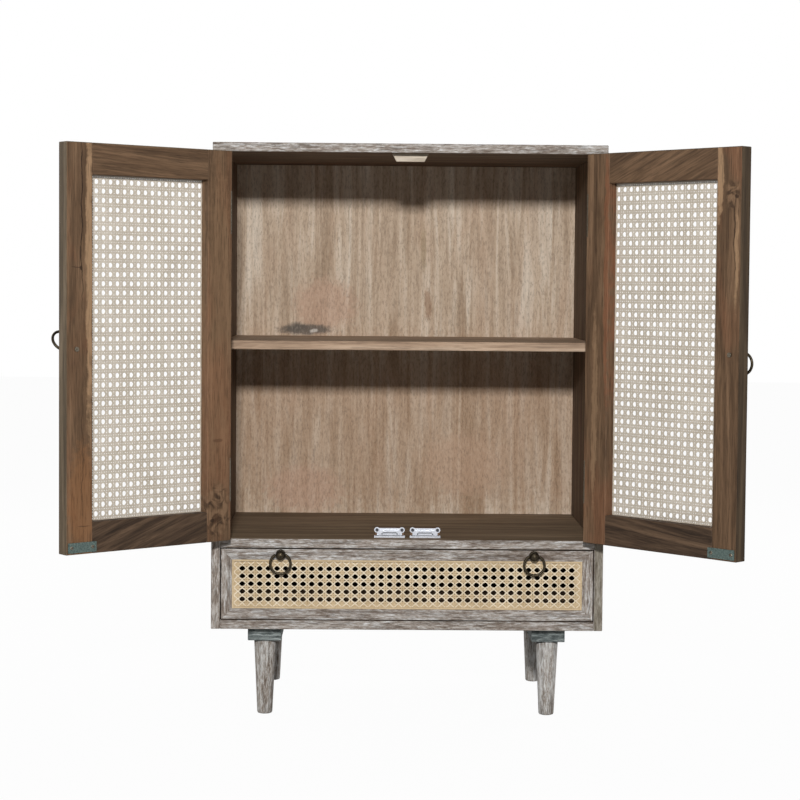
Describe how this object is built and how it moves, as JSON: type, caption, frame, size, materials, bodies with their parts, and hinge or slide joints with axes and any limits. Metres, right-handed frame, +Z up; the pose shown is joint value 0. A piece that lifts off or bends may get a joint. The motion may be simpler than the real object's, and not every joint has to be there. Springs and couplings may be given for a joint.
{
  "type": "cane accent cabinet",
  "caption": "Free-standing accent cabinet with hinged cane doors, a fixed shelf, a cane-fronted drawer with ring pulls, and round tapered legs on rails.",
  "frame": {"origin": "on the floor under the middle of the carcass", "axes": "+X to the cabinet's right as seen from the front, +Y to the back, +Z up"},
  "size_m": [1.1675, 0.6802, 1.027],
  "materials": {
    "pale_wood": "whitewashed, matt",
    "brown_wood": "stained brown, satin",
    "back_wood": "pale veneer, matt",
    "drawer_wood": "stained brown, matt",
    "cane": "woven cane, natural",
    "bronze": "antique dark bronze",
    "steel": "zinc plated"
  },
  "bodies": {
    "carcass": {"back_panel": "back_wood", "bottom_panel": "pale_wood", "cabinet_floor": "brown_wood", "catch_blocks": "brown_wood", "catch_screws": "steel", "door_stop_block": "brown_wood", "front_left_leg": "pale_wood", "front_right_leg": "pale_wood", "hinge_frame_leaves": "steel", "left_drawer_runner": "drawer_wood", "left_leg_rail": "pale_wood", "left_side_panel": "pale_wood", "leg_bolts": "steel", "magnetic_catches": "steel", "rear_left_leg": "pale_wood", "rear_right_leg": "pale_wood", "right_drawer_runner": "drawer_wood", "right_leg_rail": "pale_wood", "right_side_panel": "pale_wood", "shelf": "brown_wood", "top_panel": "pale_wood"},
    "left_door": {"left_door_bead": "brown_wood", "left_door_bottom_rail": "brown_wood", "left_door_cane": "cane", "left_door_free_stile": "brown_wood", "left_door_hinge_leaves": "steel", "left_door_hinge_stile": "brown_wood", "left_door_knob": "bronze", "left_door_pull_bolt": "bronze", "left_door_strike_plate": "steel", "left_door_top_rail": "brown_wood"},
    "right_door": {"right_door_bead": "brown_wood", "right_door_bottom_rail": "brown_wood", "right_door_cane": "cane", "right_door_free_stile": "brown_wood", "right_door_hinge_leaves": "steel", "right_door_hinge_stile": "brown_wood", "right_door_knob": "bronze", "right_door_pull_bolt": "bronze", "right_door_strike_plate": "steel", "right_door_top_rail": "brown_wood"},
    "drawer": {"drawer_back": "drawer_wood", "drawer_bead": "brown_wood", "drawer_bottom": "drawer_wood", "drawer_cane": "cane", "drawer_front_bottom_rail": "pale_wood", "drawer_front_left_stile": "pale_wood", "drawer_front_right_stile": "pale_wood", "drawer_front_top_rail": "pale_wood", "drawer_knobs": "bronze", "drawer_left_side": "drawer_wood", "drawer_pull_bolts": "bronze", "drawer_right_side": "drawer_wood"},
    "left_door_ring": {"left_door_ring": "bronze"},
    "left_drawer_ring": {"left_drawer_ring": "bronze"},
    "right_door_ring": {"right_door_ring": "bronze"},
    "right_drawer_ring": {"right_drawer_ring": "bronze"}
  },
  "joints": [
    {"name": "left_door_hinge", "type": "hinge", "parent": "carcass", "child": "left_door", "pos_m": [-0.333, -0.213, 0.667], "axis": [0, 0, -1], "range_deg": [-141.3, 38.7]},
    {"name": "right_door_hinge", "type": "hinge", "parent": "carcass", "child": "right_door", "pos_m": [0.333, -0.213, 0.667], "axis": [0, 0, 1], "range_deg": [-133.4, 46.6]},
    {"name": "drawer_slide", "type": "slide", "parent": "carcass", "child": "drawer", "axis": [0, -1, 0], "range_m": [0, 0.28]},
    {"name": "left_door_ring_swing", "type": "hinge", "parent": "left_door", "child": "left_door_ring", "pos_m": [-0.57837, -0.40573, 0.667], "axis": [0.7804, 0.6252, 0], "range_deg": [-157, 33]},
    {"name": "right_door_ring_swing", "type": "hinge", "parent": "right_door", "child": "right_door_ring", "pos_m": [0.54955, -0.43763, 0.667], "axis": [0.6871, -0.7266, 0], "range_deg": [-10, 180]},
    {"name": "left_drawer_ring_swing", "type": "hinge", "parent": "drawer", "child": "left_drawer_ring", "pos_m": [-0.226, -0.216, 0.2955], "axis": [-1, 0, 0], "range_deg": [-10, 125]},
    {"name": "right_drawer_ring_swing", "type": "hinge", "parent": "drawer", "child": "right_drawer_ring", "pos_m": [0.226, -0.216, 0.2955], "axis": [-1, 0, 0], "range_deg": [-10, 125]}
  ]
}
